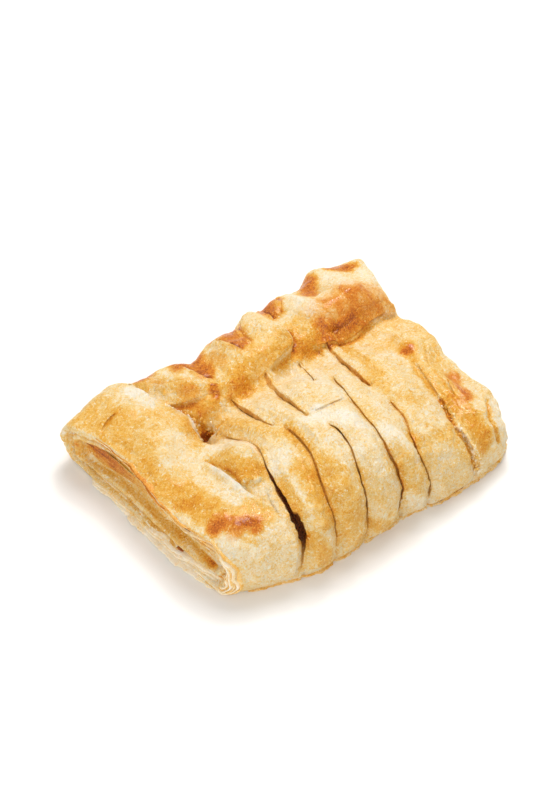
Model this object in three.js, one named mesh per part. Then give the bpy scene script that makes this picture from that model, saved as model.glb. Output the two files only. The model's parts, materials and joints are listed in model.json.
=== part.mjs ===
// A savory puff pastry: a filled parcel of laminated dough, longer than wide, baked flat on a tray.
// One sheet wraps the filling. It goes from the seam at the back, over the top, round the front fold and
// under the base. The seam is rolled up and crimped along the back edge, the left end is left open and
// shows the folded sheets, the right end is pressed shut, and slashes cut the top and the front fold
// into strips. It is all one piece of dough, so it is one closed solid.
//
// Frame: millimetres, +X from the open end to the shut end, +Y from the front fold to the crimped seam,
// +Z up, origin at the middle of the base.

import * as THREE from "three";
import { mergeVertices } from "three/addons/utils/BufferGeometryUtils.js";

// ---- Driving dimensions ----
const RIM_HEIGHT = 20; // height of the dough round the rim, before anything swells
const SHEET = 3.3; // thickness of one baked sheet
const FOLD_REACH = 19; // how far the top of the front fold curves over
const FOLD_MIDDLE = 10; // height of the front fold's widest line
const TURN_UNDER = 5; // radius where a side turns under the base
const SEAM_REACH = 8; // how far the back of the seam roll curves over
const SEAM_MIDDLE = 11; // height of the seam roll's widest line
const CRIMP_PITCH = 19.3; // between the crimps along the seam
const CRIMP_START = -21.5; // the first crimp
const CRIMP_SCOOP = 6.4; // depth of the deepest pocket between two crimps, behind
const CRIMP_KNOB = 1.6; // how far a crimp stands out behind
const CRIMP_RIDGE = 4.5; // how far it rises over the pockets on top
const CRIMP_LEVEL = 0.4; // the share of a crimp at which the top keeps its height
const CRIMP_FROM = 20; // how far back the crimps begin to show on top
const CRIMP_FULL = 36; // how far back they show in full
const CRIMP_SPREAD = 0.36; // half width of a pocket, as a share of the pitch
const FLANGE = 2.6; // how far the bottom sheet stands out at the foot of the right half
const FLANGE_FROM = 18; // where along X it begins
const FLANGE_FULL = 30; // where along X it stands out in full
const FOOT_OUT = 2.2; // how far the bottom sheets stand out at the open end
const FOOT_TOP = 12; // the height below which they stand out

// ---- Small mathematical helpers ----
const clamp = (v, low, high) => Math.min(high, Math.max(low, v));
const blend = (a, b, t) => a + (b - a) * t;
const ramp = (from, to, v) => {
  const t = clamp((v - from) / (to - from), 0, 1);
  return t * t * (3 - 2 * t);
};
const bell = (u) => Math.exp(-u * u);

// A smooth function through a few [where, value] points, level beyond both ends.
function through(points) {
  const slope = (i) => {
    const [a, b] = [points[Math.max(i - 1, 0)], points[Math.min(i + 1, points.length - 1)]];
    return (b[1] - a[1]) / (b[0] - a[0]);
  };
  return (where) => {
    if (where <= points[0][0]) return points[0][1];
    const i = points.findIndex((p) => p[0] >= where);
    if (i < 0) return points[points.length - 1][1];
    const [[x0, y0], [x1, y1]] = [points[i - 1], points[i]];
    const span = x1 - x0;
    const t = (where - x0) / span;
    const [t2, t3] = [t * t, t * t * t];
    return (
      (2 * t3 - 3 * t2 + 1) * y0 + (t3 - 2 * t2 + t) * span * slope(i - 1) +
      (3 * t2 - 2 * t3) * y1 + (t3 - t2) * span * slope(i)
    );
  };
}

// Distance from (x, y) to a line of points, and the side it lies on: +1 is left of the line's direction.
function offsetFrom(path, x, y) {
  let best = { distance: Infinity, side: 1 };
  for (let i = 0; i + 1 < path.length; i++) {
    const [[ax, ay], [bx, by]] = [path[i], path[i + 1]];
    const [ux, uy] = [bx - ax, by - ay];
    const t = clamp(((x - ax) * ux + (y - ay) * uy) / (ux * ux + uy * uy), 0, 1);
    const [dx, dy] = [x - ax - t * ux, y - ay - t * uy];
    const distance = Math.hypot(dx, dy);
    if (distance < best.distance) best = { distance, side: Math.sign(ux * dy - uy * dx) || 1 };
  }
  return best;
}

// ---- The parcel's outline, seen from above ----
const frontEdge = through([
  [-66, -39], [-60, -44.5], [-53, -48.5], [-43, -52], [-35, -55.5], [-27, -57], [-8, -57.5],
  [12, -57.5], [26, -58.5], [55, -58.5], [69, -54], [72, -50],
]);
const backEdge = through([
  [-68, 49], [-56, 53], [-44, 53.5], [-28, 50], [-17, 47.5], [-5, 47], [8, 48.5],
  [24, 52], [42, 52.5], [58, 54], [68, 50.5], [76, 46],
]);
const openEnd = through([
  [-46, -60], [-38, -63], [-25, -63.5], [0, -63], [14, -63], [24, -64.5], [35, -66.5], [48, -68], [54, -67.5],
]);
const shutEnd = through([
  [-56, 65.5], [-48, 69], [-30, 69.5], [-15, 69], [0, 69.5], [16, 68.5], [28, 68.5], [40, 71.5], [48, 73.5],
]);

// ---- The top's height ----
// What swells under the sheet: the filling, trapped steam and the roll of the seam.
const SWELLS = [
  { what: "filling", at: [3, -28], reach: [38, 38], rise: 20 },
  { what: "front of the left pillow", at: [-50, -28], reach: [20, 18], rise: 5.5 },
  { what: "back of the left pillow", at: [-50, 16], reach: [16, 21], rise: 9 },
  { what: "smooth back corner", at: [-41, 44], reach: [16, 12], rise: 4 },
  { what: "blister beside the first slash", at: [-32, -13], reach: [8.5, 9.5], rise: 6 },
  { what: "seam roll", at: [22, 31], reach: [50, 14], rise: 11 },
  { what: "lobe of the seam roll", at: [5, 27], reach: [13, 9], rise: 3 },
  { what: "toasted end of the seam roll", at: [54, 26], reach: [15, 11], rise: 5.5 },
  { what: "last crimp", at: [72, 45], reach: [9, 9], rise: 4 },
  { what: "panel beside the last slash", at: [45, -12], reach: [10, 22], rise: 2.5 },
  { what: "band along the shut end", at: [60, -22], reach: [4.5, 24], rise: 3 },
];
// Where one layer laps over its neighbour. It stands over the neighbour by the depth, on the left of the
// path, and the neighbour rises again over the gentle distance.
const LAPS = [
  {
    what: "inner edge of the seam roll",
    path: [[-30, 14], [-14, 17], [2, 16], [16, 15], [32, 17], [46, 15], [58, 16.5], [72, 15]],
    steep: 2, gentle: 9, depth: 5,
  },
  {
    what: "right edge of the left pillow",
    path: [[-31, 4], [-31, 13], [-30, 20], [-33, 26], [-37, 33], [-39, 46]],
    steep: 2, gentle: 8, depth: 5,
  },
  {
    what: "sheet lapped over the front of the left pillow",
    path: [[-42, 2], [-43, -10], [-41, -24], [-36, -32], [-34, -42]],
    steep: 4, gentle: 7, depth: 1.8,
  },
  {
    what: "right edge of the lobe",
    path: [[12, 16], [19, 20], [22.5, 27], [21, 34]],
    steep: 2, gentle: 8, depth: 2.5,
  },
  {
    what: "band along the shut end",
    path: [[50, -52], [52, -30], [54, -8], [56, 8]],
    steep: 8, gentle: 2, depth: 1.2,
  },
];
// A torn hole where the pillow, the seam roll and the first strip meet.
const TORN_HOLE = { at: [-27.8, 13], reach: [3.2, 4], depth: 7 };
// A square of sheet left proud between the third and fourth slashes.
const PATCH = { x: [5, 21], y: [-16, 5], lean: -0.35, proud: 1, edge: 2.5 };

// The share of the full depth that each pocket of the seam has, from the one before the first crimp.
const POCKETS = [0.15, 0.9, 1, 1, 0.9, 0.35];

// How far the seam stands at x, 0 in the deepest pocket and 1 on a crimp.
function crimpAt(x) {
  const pockets = POCKETS.map((share, i) => {
    const middle = CRIMP_START + (i - 0.5) * CRIMP_PITCH;
    return share * bell((x - middle) / (CRIMP_SPREAD * CRIMP_PITCH));
  });
  return 1 - Math.max(...pockets);
}

function topHeight(x, y) {
  let z = RIM_HEIGHT;
  for (const { at, reach, rise } of [...SWELLS, { ...TORN_HOLE, rise: -TORN_HOLE.depth }]) {
    z += rise * bell(Math.hypot((x - at[0]) / reach[0], (y - at[1]) / reach[1]));
  }
  for (const { path, steep, gentle, depth } of LAPS) {
    const { distance, side } = offsetFrom(path, x, y);
    z -= depth * bell(distance / (side > 0 ? steep : gentle));
  }
  z += CRIMP_RIDGE * (crimpAt(x) - CRIMP_LEVEL) * ramp(CRIMP_FROM, CRIMP_FULL, y);
  const leant = x - PATCH.lean * y;
  const inside = Math.min(leant - PATCH.x[0], PATCH.x[1] - leant, y - PATCH.y[0], PATCH.y[1] - y);
  return z + PATCH.proud * ramp(0, PATCH.edge, inside);
}

// ---- The girth: rows round the section, from the middle of the base to the front, over and back ----
const ROWS = { base: 3, under: 4, front: 13, top: 34, back: 6, behind: 3 };
// The girth coordinate, in mm along the sheet: level with y on the top, and unrolled over the front fold.
const GIRTH_BACK = 40; // where the top meets the back of the seam
const GIRTH_FRONT = -40; // where it meets the front fold
const GIRTH_FOLD = -68; // at the front fold's widest line
const GIRTH_FLOOR = -78; // at its foot

// A point of the section at x: how far along its piece of the girth it lies is t, from 0 to 1.
function sectionPoint(piece, t, x) {
  const front = frontEdge(x);
  const crimp = crimpAt(x);
  const knob = backEdge(x) + CRIMP_KNOB * crimp;
  const foldTop = front + FOLD_REACH;
  const seamTop = knob - SEAM_REACH;
  const angle = (t * Math.PI) / 2;
  const [sine, cosine] = [Math.sin(angle), Math.cos(angle)];
  if (piece === "base") {
    return { y: blend(knob - TURN_UNDER, front + TURN_UNDER, t), z: 0, girth: GIRTH_FLOOR };
  }
  if (piece === "under") {
    const z = FOLD_MIDDLE * (1 - cosine);
    const outward = ramp(FLANGE_FROM, FLANGE_FULL, x) * ramp(0, 0.2, t);
    const flange = FLANGE * outward * bell((z - SHEET / 2) / (0.6 * SHEET));
    return { y: front + TURN_UNDER * (1 - sine) - flange, z, girth: blend(GIRTH_FLOOR, GIRTH_FOLD, t) };
  }
  if (piece === "front") {
    const rise = topHeight(x, foldTop) - FOLD_MIDDLE;
    const girth = blend(GIRTH_FOLD, GIRTH_FRONT, t);
    return { y: front + FOLD_REACH * (1 - cosine), z: FOLD_MIDDLE + rise * sine, girth };
  }
  if (piece === "top") {
    const y = blend(foldTop, seamTop, t);
    return { y, z: topHeight(x, y), girth: blend(GIRTH_FRONT, GIRTH_BACK, t) };
  }
  if (piece === "back") {
    const rise = topHeight(x, seamTop) - SEAM_MIDDLE;
    const scoop = CRIMP_SCOOP * (1 - crimp) * Math.sin(2 * angle);
    return { y: seamTop + SEAM_REACH * sine, z: SEAM_MIDDLE + rise * cosine - scoop, girth: GIRTH_BACK };
  }
  return { y: knob - TURN_UNDER * (1 - cosine), z: SEAM_MIDDLE * (1 - sine), girth: GIRTH_BACK };
}

// ---- The slashes ----
// Each runs along a path of [girth, x], and is open where its depth is above 0: [girth, width, depth].
const SLASHES = [
  {
    what: "first, gaping",
    path: [[-78, -34], [-57, -32], [-40, -32], [-27, -29], [-18, -25.5], [-8, -24], [4, -27], [40, -30]],
    open: [
      [-78, 1.5, 0.8], [-66, 2.5, 4], [-52, 4.5, 7], [-38, 4.5, 7], [-27, 3, 5], [-12, 2, 3], [4, 2.4, 3],
      [12, 4, 0],
    ],
  },
  {
    what: "second",
    path: [[-78, -20], [-60, -19.5], [-48, -18], [-30, -12.5], [-12, -10.5], [4, -12], [18, -14], [40, -16]],
    open: [
      [-78, 1.2, 1], [-60, 2, 3], [-30, 2, 3.3], [-10, 1.2, 1.5], [4, 1.8, 2.5], [14, 2.4, 2.4],
      [18, 4, 0],
    ],
  },
  {
    what: "third",
    path: [[-78, -6], [-60, -3.8], [-46, -2], [-30, 1.8], [-14, -2], [4, 0.5], [16, 3], [40, 4]],
    open: [
      [-78, 1.2, 1.5], [-60, 1.2, 3], [-30, 1.2, 3], [-18, 1.2, 0.6], [-5, 1.6, 3], [12, 1.8, 2.4],
      [18, 4, 0],
    ],
  },
  {
    what: "fourth",
    path: [[-78, 12.5], [-60, 13], [-46, 12.5], [-36, 14.5], [-26, 15], [-12, 19.3], [2, 23.5], [40, 22]],
    open: [[-78, 1.4, 2], [-60, 2.4, 3.3], [-40, 1.6, 3], [-20, 1.2, 1.5], [-6, 1.6, 2], [4, 3, 0]],
  },
  {
    what: "fifth",
    path: [[-78, 25], [-60, 25], [-44, 27], [-30, 30.3], [-14, 30.3], [4, 32.5], [16, 34.5], [40, 34]],
    open: [
      [-78, 1.4, 2], [-60, 1.8, 3.3], [-36, 2, 3.3], [-24, 1.4, 0.8], [-12, 1.6, 2.5], [6, 2, 3.3],
      [15, 2, 2.6], [19, 4, 0],
    ],
  },
  {
    what: "sixth, torn",
    path: [[-78, 48], [-60, 46.5], [-45, 47.5], [-32, 50], [-12, 50.5], [40, 50]],
    open: [[-78, 3, 0], [-66, 2, 1.5], [-50, 3, 1.5], [-40, 5, 1.5], [-32, 4, 1], [-26, 5, 0]],
  },
];
const STRIP_CROWN = 0.9; // how much a strip is crowned between two slashes
const CROWN_LEVEL = 0.6; // the share of the crown at which the strip keeps its height
const CROWN_END = 16; // girth behind which the strips lie flat
const CROWN_FULL = 6; // girth ahead of which they are crowned in full
const FOOT_REACH = 12; // girth over which the crown dies out above the foot
const FLOOR_SHARE = 0.6; // of a slash's width, at its floor
const COLUMNS = [17, 6, 6, 8, 6, 7, 11]; // quads across each strip, from the open end to the shut one
const slashes = SLASHES.map(({ path, open }) => ({
  path: through(path),
  width: through(open.map(([girth, width]) => [girth, width])),
  depth: through(open.map(([girth, , depth]) => [girth, depth])),
}));

// The columns of one row: where each one is along X, and how deep it is cut.
function columnsAt(girth, y, z) {
  const footless = ramp(GIRTH_FLOOR, GIRTH_FLOOR + 5, girth);
  const cuts = slashes.map(({ path, width, depth }) => ({
    x: path(girth),
    half: width(girth) / 2,
    depth: footless * Math.max(0, depth(girth)),
  }));
  const slashed = ramp(CROWN_END, CROWN_FULL, girth) * ramp(GIRTH_FLOOR, GIRTH_FLOOR + FOOT_REACH, girth);
  const columns = [];
  for (let strip = 0; strip <= cuts.length; strip++) {
    const [left, right] = [cuts[strip - 1], cuts[strip]];
    const from = left ? left.x + left.half : openEnd(y) - FOOT_OUT * ramp(FOOT_TOP, SHEET, z);
    const to = right ? right.x - right.half : shutEnd(y);
    for (let i = 0; i <= COLUMNS[strip]; i++) {
      const across = i / COLUMNS[strip];
      const crowned = left && right ? STRIP_CROWN * (4 * across * (1 - across) - CROWN_LEVEL) : 0;
      columns.push({ x: blend(from, to, across), lift: slashed * crowned });
    }
    if (right) {
      columns.push({ x: right.x - FLOOR_SHARE * right.half, lift: -right.depth });
      columns.push({ x: right.x + FLOOR_SHARE * right.half, lift: -right.depth });
    }
  }
  return columns;
}

// ---- The closed surface ----
const rows = [];
for (const [piece, count] of Object.entries(ROWS)) {
  for (let i = 0; i < count; i++) rows.push({ piece, t: i / count });
}

// The grid of the outer surface, row by row. A lift moves a point square to its section.
function outerSurface() {
  const step = 0.01;
  return rows.map(({ piece, t }) => {
    const middle = sectionPoint(piece, t, 0);
    return columnsAt(middle.girth, middle.y, middle.z).map(({ x, lift }) => {
      const p = sectionPoint(piece, t, x);
      if (piece === "base") return new THREE.Vector3(x, p.y, 0);
      const next = sectionPoint(piece, Math.min(t + step, 1), x);
      const prior = sectionPoint(piece, Math.max(t - step, 0), x);
      const [dy, dz] = [next.y - prior.y, next.z - prior.z];
      const size = Math.hypot(dy, dz) || 1;
      return new THREE.Vector3(x, p.y - (lift * dz) / size, Math.max(0, p.z + (lift * dy) / size));
    });
  });
}

// An end is closed by rings that shrink towards the section's flat middle. Each ring is [inset, out],
// in mm: how far in from the outline it lies, and how far it stands out along X.
const OPEN_END_RINGS = [
  [0.8, 0.6], [SHEET, 0.4], [3.8, -3], [5, -3], [5.6, -1], [8, -1.2], [8.6, -4.5], [9.6, -5],
];
const SHUT_END_RINGS = [[1.2, 1.4], [SHEET, 2.2], [4.2, 0.8], [6.4, 1.4], [7.2, 0.2], [9.4, 0.6]];
const END_HEART = { half: 10, front: -28, back: 36 }; // the line that the rings shrink to, and its height

// The point of a ring: p lies on the outline, and outward is -1 at the open end and 1 at the shut one.
function ringPoint(p, inset, out, outward) {
  const { half, front, back } = END_HEART;
  const heart = new THREE.Vector3(p.x, clamp(p.y, front, back), half);
  const arm = p.clone().sub(heart);
  const shrink = Math.max(0, 1 - inset / Math.max(arm.length(), half));
  const q = heart.add(arm.multiplyScalar(shrink));
  q.x = p.x + outward * out;
  return q;
}

function endRings(outline, rings, outward) {
  return rings.map(([inset, out]) => outline.map((p) => ringPoint(p, inset, out, outward)));
}

// One closed surface: the rings of the open end, the columns of the grid, then the rings of the shut end.
function build() {
  const grid = outerSurface();
  const count = grid.length;
  const columns = grid[0].map((_, j) => grid.map((row) => row[j]));
  const loops = [
    ...endRings(columns[0], OPEN_END_RINGS, -1).reverse(),
    ...columns,
    ...endRings(columns[columns.length - 1], SHUT_END_RINGS, 1),
  ];
  const positions = [];
  const triangle = (a, b, c) => positions.push(...a.toArray(), ...b.toArray(), ...c.toArray());
  for (let j = 0; j + 1 < loops.length; j++) {
    const [here, next] = [loops[j], loops[j + 1]];
    for (let i = 0; i < count; i++) {
      const k = (i + 1) % count;
      triangle(here[i], next[i], next[k]);
      triangle(here[i], next[k], here[k]);
    }
  }
  const cap = (loop) => {
    const centre = loop.reduce((sum, p) => sum.add(p), new THREE.Vector3()).divideScalar(count);
    loop.forEach((p, i) => triangle(p, loop[(i + 1) % count], centre));
  };
  cap(loops[0]);
  cap([...loops[loops.length - 1]].reverse());
  const geometry = new THREE.BufferGeometry();
  geometry.setAttribute("position", new THREE.Float32BufferAttribute(positions, 3));
  return mergeVertices(geometry, 1e-3);
}

// The origin goes to the middle of the base of the finished form.
const geometry = build();
geometry.computeBoundingBox();
const { min, max } = geometry.boundingBox;
geometry.translate(-(min.x + max.x) / 2, -(min.y + max.y) / 2, -min.z);
geometry.computeVertexNormals();

const crust = new THREE.MeshStandardMaterial({
  color: new THREE.Color(0.86, 0.66, 0.36),
  roughness: 0.6,
  metalness: 0,
});
const pastry = new THREE.Mesh(geometry, crust);
pastry.name = "puff_pastry";

const group = new THREE.Group();
group.add(pastry);

export default group;
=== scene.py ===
# A savory puff pastry on a pale table, seen as in the photograph.
# Lengths are in metres, except where a name ends in mm, and from the crust on, where all are in mm.
import bpy
import json
import math
import numpy as np
from mathutils import Euler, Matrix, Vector, noise
from mathutils.bvhtree import BVHTree

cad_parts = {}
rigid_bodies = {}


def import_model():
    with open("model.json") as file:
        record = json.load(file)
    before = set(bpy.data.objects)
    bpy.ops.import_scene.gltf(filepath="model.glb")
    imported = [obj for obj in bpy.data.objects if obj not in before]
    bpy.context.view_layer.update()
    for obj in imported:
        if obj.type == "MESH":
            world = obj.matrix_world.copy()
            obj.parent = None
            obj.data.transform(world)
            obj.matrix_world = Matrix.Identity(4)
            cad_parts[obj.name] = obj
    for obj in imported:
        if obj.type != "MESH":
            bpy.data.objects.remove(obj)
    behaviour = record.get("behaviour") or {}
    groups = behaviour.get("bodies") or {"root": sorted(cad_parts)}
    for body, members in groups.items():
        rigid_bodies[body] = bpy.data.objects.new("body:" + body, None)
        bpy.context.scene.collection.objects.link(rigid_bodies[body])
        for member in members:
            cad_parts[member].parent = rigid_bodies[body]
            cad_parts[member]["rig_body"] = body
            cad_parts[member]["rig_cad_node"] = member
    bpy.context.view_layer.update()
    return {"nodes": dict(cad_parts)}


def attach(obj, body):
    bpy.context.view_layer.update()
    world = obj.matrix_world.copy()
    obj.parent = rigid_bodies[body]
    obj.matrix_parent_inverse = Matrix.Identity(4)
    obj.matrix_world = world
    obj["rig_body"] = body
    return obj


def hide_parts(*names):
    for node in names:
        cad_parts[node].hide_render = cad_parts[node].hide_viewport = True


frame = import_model()
MM = 0.001

# ---- The camera ----
# A long lens, close to a packshot: well above the front left corner, the pastry a little under the middle
# of the picture. The aim point is inside the pastry, and the picture's own middle lies beside it.
camera_turn = math.radians(-38.5)
camera_rise = math.radians(49.0)
camera_lens_mm = 100.0
camera_distance = 860.0 * MM
camera_aim = Vector((-2.5 * MM, 1.9 * MM, 15.0 * MM))
picture_size = Vector((560.0, 800.0))
aim_in_picture = Vector((285.0, 425.0))

camera_data = bpy.data.cameras.new("camera")
camera_data.lens = camera_lens_mm
camera_data.sensor_width = 36.0
camera = bpy.data.objects.new("camera", camera_data)
bpy.context.scene.collection.objects.link(camera)
camera.rotation_euler = Euler((math.pi / 2 - camera_rise, 0.0, camera_turn))
camera_axes = camera.rotation_euler.to_matrix()
metres_per_pixel = camera_distance * camera_data.sensor_width / camera_lens_mm / picture_size.y
beside = (aim_in_picture - picture_size / 2) * metres_per_pixel
camera.location = camera_aim + camera_axes @ Vector((-beside.x, beside.y, camera_distance))
bpy.context.scene.camera = camera

# ---- The table and the light ----
# A plain pale table, a large soft box high behind the right shoulder of the pastry with a small lamp beside
# it for the glints, weak boxes in front and at the left that open the shadows, and a pale room.
def tone(red, green, blue):
    """A colour as the shaders take it, from the 0 to 255 values it is seen at."""
    shares = np.array([red, green, blue]) / 255.0
    linear = np.where(shares <= 0.04045, shares / 12.92, ((shares + 0.055) / 1.055) ** 2.4)
    return (*linear.tolist(), 1.0)


table_finish = bpy.data.materials.new("pale_table")
table_finish.use_nodes = True
table_shader = table_finish.node_tree.nodes["Principled BSDF"]
table_shader.inputs["Base Color"].default_value = tone(246, 246, 246)
table_shader.inputs["Roughness"].default_value = 0.7

bpy.ops.object.select_all(action="DESELECT")
bpy.ops.mesh.primitive_plane_add(size=4.0, location=(0.0, 0.0, 0.0))
table = bpy.context.object
table.name = "table"
table.data.materials.append(table_finish)


def soft_box(name, place, width, power):
    light = bpy.data.lights.new(name, "AREA")
    light.shape = "SQUARE"
    light.size = width
    light.energy = power
    box = bpy.data.objects.new(name, light)
    bpy.context.scene.collection.objects.link(box)
    box.location = place
    box.rotation_euler = (camera_aim - box.location).to_track_quat("-Z", "Y").to_euler()


soft_box("key_light", Vector((0.30, 0.25, 0.75)), 0.45, 4.8)
soft_box("small_lamp", Vector((0.34, 0.30, 0.74)), 0.05, 0.7)
soft_box("front_light", Vector((-0.30, -0.80, 0.60)), 0.8, 2.0)
soft_box("left_light", Vector((-0.85, -0.15, 0.40)), 0.6, 2.3)

room = bpy.data.worlds.new("room")
room.use_nodes = True
room.node_tree.nodes["Background"].inputs["Color"].default_value = (1.0, 0.96, 0.9, 1.0)
room.node_tree.nodes["Background"].inputs["Strength"].default_value = 0.5
bpy.context.scene.world = room
bpy.context.scene.view_settings.view_transform = "Standard"

# ---- The baked finish ----
# Laminated dough bakes from a matt cream, through a glossy egg-washed gold, to a dark orange brown. Where
# it browned without egg wash it is redder, and where it was cut it stays a duller tan.
def add_node(tree, kind, **settings):
    made = tree.nodes.new(kind)
    for key, value in settings.items():
        setattr(made, key, value)
    return made


# The finish reads five values of the dough: bake, how far it browned, with painted shade in places; rose,
# how red that brown is; cut, how much of it is a cut or torn wall; slit, how near a slash's middle it lies;
# deep, how much painted shade lies deep inside that slash.
five_values = ("bake", "rose", "cut", "slit", "deep")
baked = bpy.data.node_groups.new("baked_dough", "ShaderNodeTree")
for socket_name in five_values:
    baked.interface.new_socket(socket_name, in_out="INPUT", socket_type="NodeSocketFloat")
baked.interface.new_socket("Place", in_out="INPUT", socket_type="NodeSocketVector")
baked.interface.new_socket("Colour", in_out="OUTPUT", socket_type="NodeSocketColor")
for socket_name in ("Gloss", "Roughness", "Height"):
    baked.interface.new_socket(socket_name, in_out="OUTPUT", socket_type="NodeSocketFloat")
given = add_node(baked, "NodeGroupInput").outputs
result = add_node(baked, "NodeGroupOutput").inputs


def add_sum(first, second, operation="ADD", third=None, clamped=False):
    """A math node of two or three values, each a number or an output."""
    made = add_node(baked, "ShaderNodeMath", operation=operation, use_clamp=clamped)
    for slot, value in zip(made.inputs, (first, second, third)):
        if isinstance(value, (int, float)):
            slot.default_value = value
        elif value is not None:
            baked.links.new(value, slot)
    return made.outputs[0]


def add_ramp(value, low, high, start=0.0, end=1.0):
    """The value eased from start at low to end at high."""
    made = add_node(baked, "ShaderNodeMapRange", interpolation_type="SMOOTHSTEP")
    for slot, number in zip(made.inputs[1:5], (low, high, start, end)):
        slot.default_value = number
    baked.links.new(value, made.inputs[0])
    return made.outputs[0]


def add_tones(value, stops):
    """A row of colours along the value, each stop (place, colour)."""
    made = add_node(baked, "ShaderNodeValToRGB")
    ramp = made.color_ramp
    while len(ramp.elements) < len(stops):
        ramp.elements.new(0.5)
    for element, (place, colour) in zip(ramp.elements, stops):
        element.position = place
        element.color = colour
    baked.links.new(value, made.inputs[0])
    return made.outputs[0]


def add_grain(places, per_metre, detail, roughness):
    made = add_node(baked, "ShaderNodeTexNoise")
    made.inputs["Scale"].default_value = per_metre
    made.inputs["Detail"].default_value = detail
    made.inputs["Roughness"].default_value = roughness
    baked.links.new(places, made.inputs["Vector"])
    return made.outputs[0]


def add_blend(share, under, over):
    made = add_node(baked, "ShaderNodeMix", data_type="RGBA")
    baked.links.new(share, made.inputs[0])
    for slot, value in ((made.inputs[6], under), (made.inputs[7], over)):
        if isinstance(value, tuple):
            slot.default_value = value
        else:
            baked.links.new(value, slot)
    return made.outputs[2]


# The grain of the skin: soft blotches, mottling and fine speckle, scales of two sizes where it split, and
# the thin layers that end in terraces with a torn rim and painted shade at their foot.
place = given["Place"]
warp = add_node(baked, "ShaderNodeTexNoise")
warp.inputs["Scale"].default_value = 300.0
baked.links.new(place, warp.inputs["Vector"])
bent = add_node(baked, "ShaderNodeVectorMath", operation="MULTIPLY_ADD")
bent.inputs[1].default_value = (0.004, 0.004, 0.004)
baked.links.new(warp.outputs["Color"], bent.inputs[0])
baked.links.new(place, bent.inputs[2])
scales = []
for per_metre in (240.0, 620.0):
    cells = add_node(baked, "ShaderNodeTexVoronoi")
    cells.inputs["Scale"].default_value = per_metre
    baked.links.new(bent.outputs[0], cells.inputs["Vector"])
    scales.append(add_sum(cells.outputs["Color"], -0.5))
blotches = add_grain(place, 150.0, 3.0, 0.55)
mottle = add_grain(place, 620.0, 4.0, 0.6)
speckle = add_grain(place, 1700.0, 3.0, 0.7)
split = add_ramp(add_grain(place, 95.0, 4.0, 0.6), 0.42, 0.56)
flakes = add_sum(scales[0], 0.6, "MULTIPLY_ADD", add_sum(scales[1], 0.4, "MULTIPLY"))
flakes = add_sum(flakes, split, "MULTIPLY")
contour = add_sum(add_grain(place, 120.0, 4.0, 0.55), 6.0, "MULTIPLY")
contour = add_sum(mottle, 0.7, "MULTIPLY_ADD", contour)
within = add_sum(contour, 0.0, "FRACT")
terrace = add_sum(add_sum(contour, 0.0, "FLOOR"), add_ramp(within, 0.84, 1.0))
torn_rim = add_sum(add_ramp(within, 0.66, 0.84), add_ramp(within, 0.9, 0.98), "SUBTRACT")
torn_rim = add_sum(torn_rim, split, "MULTIPLY", clamped=True)
terrace_foot_shade = add_sum(add_ramp(within, 0.16, 0.0), split, "MULTIPLY")
specks = add_ramp(add_grain(bent.outputs[0], 1300.0, 2.0, 0.5), 0.58, 0.7)
flecks = add_ramp(add_grain(bent.outputs[0], 1100.0, 3.0, 0.65), 0.46, 0.3)

# How much further or less far each spot browned than the dough round it, and the colours it then has.
varied = add_sum(blotches, 0.32, "MULTIPLY_ADD", -0.16)
varied = add_sum(mottle, 0.44, "MULTIPLY_ADD", add_sum(varied, -0.22))
varied = add_sum(flakes, 0.20, "MULTIPLY_ADD", varied)
varied = add_sum(torn_rim, -0.08, "MULTIPLY_ADD", varied)
# At the foot of each terrace, painted shade.
varied = add_sum(terrace_foot_shade, 0.1, "MULTIPLY_ADD", varied)
varied = add_sum(varied, add_ramp(given["bake"], 0.42, 0.72, 1.0, 0.6), "MULTIPLY")
varied = add_sum(speckle, 0.7, "MULTIPLY_ADD", add_sum(varied, -0.32))
varied = add_sum(specks, 0.12, "MULTIPLY_ADD", varied)
varied = add_sum(flecks, -0.34, "MULTIPLY_ADD", varied)
bake = add_sum(given["bake"], varied, clamped=True)
gold = add_tones(bake, [
    (0.0, tone(255, 244, 224)), (0.16, tone(253, 233, 194)), (0.34, tone(249, 212, 140)),
    (0.5, tone(244, 188, 82)), (0.65, tone(235, 160, 34)), (0.8, tone(218, 122, 12)),
    (1.0, tone(142, 66, 6)),
])
rosy = add_tones(bake, [
    (0.0, tone(252, 226, 194)), (0.3, tone(245, 194, 132)), (0.55, tone(239, 160, 66)),
    (0.75, tone(223, 122, 24)), (1.0, tone(164, 70, 8)),
])
sliced = add_tones(bake, [
    (0.0, tone(250, 222, 166)), (0.4, tone(238, 184, 98)), (0.7, tone(212, 132, 44)),
    (1.0, tone(134, 66, 14)),
])
colour = add_blend(given["rose"], gold, rosy)
colour = add_blend(given["cut"], colour, sliced)
# Deep in a slash the colour turns to a near black brown: painted shade, as much as deep gives.
ragged_slit = add_sum(mottle, 0.3, "MULTIPLY_ADD", add_sum(given["slit"], -0.15))
shade_inside = add_sum(add_ramp(ragged_slit, 0.55, 0.8), given["deep"], "MULTIPLY")
inside = add_tones(speckle, [(0.42, tone(52, 22, 6)), (0.6, tone(140, 72, 22))])
colour = add_blend(shade_inside, colour, inside)
baked.links.new(colour, result["Colour"])

# The egg wash shines where it browned, and not where the dough was cut after it was put on.
full_coat = 0.42
gloss = add_ramp(bake, 0.36, 0.62)
gloss = add_sum(gloss, add_sum(1.0, given["cut"], "SUBTRACT"), "MULTIPLY")
baked.links.new(add_sum(gloss, full_coat, "MULTIPLY"), result["Gloss"])
baked.links.new(add_sum(gloss, -0.2, "MULTIPLY_ADD", 0.62), result["Roughness"])
height = add_sum(mottle, add_sum(speckle, 0.75, "MULTIPLY"))
height = add_sum(flakes, 0.3, "MULTIPLY_ADD", height)
height = add_sum(terrace, 0.06, "MULTIPLY_ADD", height)
baked.links.new(height, result["Height"])


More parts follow.
